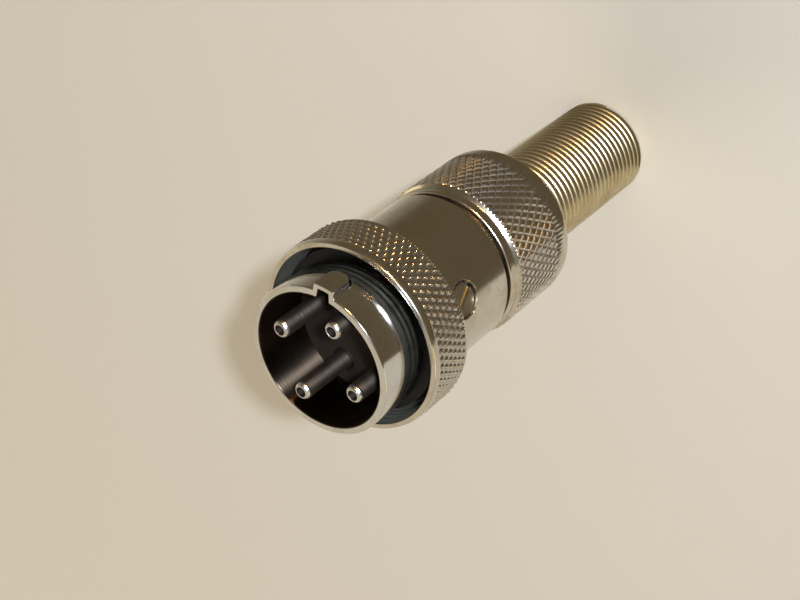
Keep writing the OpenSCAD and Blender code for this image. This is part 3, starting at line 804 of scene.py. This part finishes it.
def moulded(name, dark, light, roughness, ior, grain_mm, grain_depth_mm):
    """Moulded plastic with cloudy flow marks and a fine grain from the mould."""
    material, tree, shader = new_material(name)
    shader.inputs["Specular IOR Level"].default_value = FAINT_SHINE
    shader.inputs["IOR"].default_value = ior
    place = add(tree, "ShaderNodeTexCoord").outputs["Object"]
    cloud = add(tree, "ShaderNodeTexNoise", {"Scale": per_metre(CLOUD_MM), "Detail": 6},
                {"Vector": place})
    tone = add(tree, "ShaderNodeMix", {"A": linear(dark), "B": linear(light)},
               {"Factor": cloud.outputs["Fac"]}, data_type="RGBA")
    tree.links.new(tone.outputs["Result"], shader.inputs["Base Color"])
    satin = add(tree, "ShaderNodeMapRange", {"To Min": roughness - 0.08,
                                             "To Max": roughness + 0.12},
                {"Value": cloud.outputs["Fac"]})
    tree.links.new(satin.outputs["Result"], shader.inputs["Roughness"])
    grain = add(tree, "ShaderNodeTexNoise", {"Scale": per_metre(grain_mm), "Detail": 2},
                {"Vector": place})
    bump = add(tree, "ShaderNodeBump", {"Strength": 1, "Distance": grain_depth_mm * MM},
               {"Height": grain.outputs["Fac"]})
    tree.links.new(bump.outputs["Normal"], shader.inputs["Normal"])
    print(name, "- roughness", roughness, "ior", ior)
    return material


phenolic = moulded("moulded phenolic resin", "#1a120b", "#2a1f15", 0.6, 1.6, 0.3, 0.006)
nylon = moulded("moulded black nylon", "#17171a", "#222226", 0.45, 1.53, 0.4, 0.004)
finish_with([phenolic], cad["insulator"])
finish_with([nylon], cad["clamp_ferrule"])

# %% [markdown]
# ## The floor
# The plug stands on a plain pale sheet of matt paper. Bright walls that are seen from above
# mirror it, so its colour matters more than its grain.

# %% Floor
FLOOR_HALF = 3


def sheet(name, points, faces):
    """A surface of the studio, which isn't part of the plug."""
    mesh = bpy.data.meshes.new(name)
    mesh.from_pydata(points, [], faces)
    piece = bpy.data.objects.new(name, mesh)
    bpy.context.scene.collection.objects.link(piece)
    piece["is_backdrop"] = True
    print(name, len(faces), "faces")
    return piece


floor = sheet("floor", [(-FLOOR_HALF, -FLOOR_HALF, 0), (FLOOR_HALF, -FLOOR_HALF, 0),
                        (FLOOR_HALF, FLOOR_HALF, 0), (-FLOOR_HALF, FLOOR_HALF, 0)], [(0, 1, 2, 3)])
paper, tree, shader = new_material("matt paper")
shader.inputs["Roughness"].default_value = 0.9
shader.inputs["Specular IOR Level"].default_value = 0.1
shader.inputs["Base Color"].default_value = linear("#dcd6c8")
floor.data.materials.append(paper)

# %% [markdown]
# ## What the metal sees
# A mirror shows the room more than itself. One side of the room is dark and warm, as it is
# behind a small lamp in the evening. A curved card stands there that only reflections can see,
# so it casts no shadow and never shows. It fades to a paler tone at its far end. Two low bright
# strips of wall stand at the ends of it, and give the metal its pale edges.

# %% Things that only reflections see
def only_reflected(piece):
    for rays in ("camera", "diffuse", "transmission", "volume_scatter", "shadow"):
        setattr(piece, f"visible_{rays}", False)


# %% Dark side of the room
DARK_FROM, DARK_TO, PALE_FROM = -92, 50, 105
CARD_REACH, CARD_LIFT = 0.45, 0.0002

spread = np.linspace(DARK_FROM, PALE_FROM, 45)
climbs = np.radians(np.linspace(0, 88, 12))
spokes = [(math.cos(a), math.sin(a)) for a in np.radians(spread)]
points = [(0, 0, CARD_LIFT)] * len(spread)
points += [(CARD_REACH * x, CARD_REACH * y, CARD_LIFT) for x, y in spokes]
points += [(CARD_REACH * math.cos(climb) * x, CARD_REACH * math.cos(climb) * y,
            CARD_REACH * math.sin(climb)) for climb in climbs[1:] for x, y in spokes]
faces = []
for low in range(0, len(points) - len(spread), len(spread)):
    faces += [(low + k, low + k + 1, low + len(spread) + k + 1, low + len(spread) + k)
              for k in range(len(spread) - 1)]
card = sheet("dark_card", points, faces)
only_reflected(card)

# %% The card's own faint light
paleness = card.data.attributes.new("paleness", "FLOAT", "POINT")
fading = np.clip((spread - DARK_TO) / (PALE_FROM - DARK_TO), 0, 1)
paleness.data.foreach_set("value",
                          np.tile(fading, len(points) // len(spread)).astype(np.float32))
dark, tree, glow = new_material("dark warm room", "ShaderNodeEmission")
pale = add(tree, "ShaderNodeAttribute", attribute_name="paleness")
shade = add(tree, "ShaderNodeMix", {"A": linear("#675b45"), "B": linear("#c9c2b2")},
            {"Factor": pale.outputs["Fac"]}, data_type="RGBA")
tree.links.new(shade.outputs["Result"], glow.inputs["Color"])
card.data.materials.append(dark)
print("dark from", DARK_FROM, "to", DARK_TO, "degrees, and paler up to", PALE_FROM)

# %% Two bright strips of wall
WALL_AT, WALL_HEIGHT, WALL_STEPS = 0.42, 0.12, 7


def bright_wall(name, start, stop, colour, strength):
    """A strip of the room's wall, between two directions in degrees, that gives off light."""
    directions = np.radians(np.linspace(start, stop, WALL_STEPS))
    points = [(WALL_AT * math.cos(a), WALL_AT * math.sin(a), z) for z in (0.001, WALL_HEIGHT)
              for a in directions]
    wall = sheet(name, points, [(k, k + 1, k + WALL_STEPS + 1, k + WALL_STEPS)
                                for k in range(WALL_STEPS - 1)])
    only_reflected(wall)
    material, _, glow = new_material(name, "ShaderNodeEmission")
    glow.inputs["Color"].default_value = linear(colour)
    glow.inputs["Strength"].default_value = strength
    wall.data.materials.append(material)


bright_wall("bright_wall_left", 74, 112, "#ffeac0", 1.4)
bright_wall("bright_wall_right", -124, -92, "#ffeac0", 1.6)

# %% [markdown]
# ## The air of the room
# A plain warm world lights every side a little. It is stronger for rays that come straight from
# the camera or from a mirror, so that the metal shows a pale room while the shadows stay.

# %% World
SHADE_POWER, SEEN_POWER = 0.36, 0.9

world = bpy.data.worlds.new("soft room")
bpy.context.scene.world = world
world.use_nodes = True
world.node_tree.nodes.clear()
seen = add(world.node_tree, "ShaderNodeLightPath")
shown = add(world.node_tree, "ShaderNodeMath", links={0: seen.outputs["Is Camera Ray"],
                                                      1: seen.outputs["Is Glossy Ray"]},
            operation="MAXIMUM")
power = add(world.node_tree, "ShaderNodeMapRange", {"To Min": SHADE_POWER, "To Max": SEEN_POWER},
            {"Value": shown.outputs[0]})
air = add(world.node_tree, "ShaderNodeBackground", {"Color": linear("#e8dac2")},
          {"Strength": power.outputs["Result"]})
add(world.node_tree, "ShaderNodeOutputWorld", links={"Surface": air.outputs[0]})
print("world: power", SHADE_POWER, "on matt surfaces and", SEEN_POWER, "in reflections")

# %% [markdown]
# ## Camera
# A short telephoto lens looks down on the nose from in front of the key's side. The plug stands
# upright, and the camera is rolled, so the plug lies across the view.

# %% Camera
RIGHT = (0.08777, -0.80601, -0.58535)
UP = (0.79600, 0.41004, -0.44526)
AHEAD = (-0.59890, 0.42686, -0.67757)
EYE = (0.10308, -0.07359, rim_z * MM + 0.10252)

camera = bpy.data.objects.new("camera", bpy.data.cameras.new("camera"))
bpy.context.scene.collection.objects.link(camera)
bpy.context.scene.camera = camera
camera.data.lens = 72
camera.data.sensor_width = 36
camera.data.clip_start, camera.data.clip_end = 0.01, 10
camera.matrix_world = Matrix([[RIGHT[k], UP[k], -AHEAD[k], EYE[k]] for k in range(3)]
                             + [[0, 0, 0, 1]])
print("camera looks down by", round(math.degrees(math.asin(-AHEAD[2]))), "degrees")

# %% [markdown]
# ## Lamps
# A small cool lamp behind the camera gives the clear shadow, and a large warm one beyond the
# plug fills it. The large one is kept out of the reflections, or it would turn the flat rim
# white. Two more lamps are seen in the metal and light nothing matt: a cool one where the small
# lamp stands, and a low warm one that puts golden points on the knurl.

# %% Lamps
SMALL_LAMP_AT = (0.289, -0.231, 0.318)


def lamp(name, place, aim, size, watts, colour):
    """A round area lamp at a place, turned to face a point, both in metres."""
    light = bpy.data.lights.new(name, "AREA")
    light.shape, light.size, light.energy = "DISK", size, watts
    light.color = linear(colour)[:3]
    stand = bpy.data.objects.new(name, light)
    bpy.context.scene.collection.objects.link(stand)
    stand.location = place
    stand.rotation_mode = "QUATERNION"
    stand.rotation_quaternion = (Vector(place) - Vector(aim)).to_track_quat("Z", "Y")
    stand.visible_camera = False
    print(name, watts, "W, size", size, "m")
    return stand


lamp("small lamp", SMALL_LAMP_AT, (-0.03, 0.02, 0.03), 0.018, 1.75, "#e6efff")
soft_lamp = lamp("soft lamp", (-0.36, 0.14, 0.42), (-0.08, 0.05, 0), 0.6, 1.5, "#fff2e0")
soft_lamp.visible_glossy = False
glint = lamp("glint", SMALL_LAMP_AT, (0, 0, 0.04), 0.06, 9, "#e2ecff")
glint.visible_diffuse = False
warm_glint = lamp("warm glint", (0.4, -0.07, 0.12), (0, 0, 0.045), 0.07, 1.1, "#ffc67c")
warm_glint.visible_diffuse = False

bpy.context.scene.view_settings.view_transform = "Standard"

# %% [markdown]
# ## The size of the dressed model
# The size of the dressed model, without the studio's sheets, is printed in millimetres. The
# dressed model has to stay inside the box of the solids.

# %% Print the size of the dressed model
low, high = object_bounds()
print("visual size in mm:", [round(1000 * (b - a), 2) for a, b in zip(low, high)])
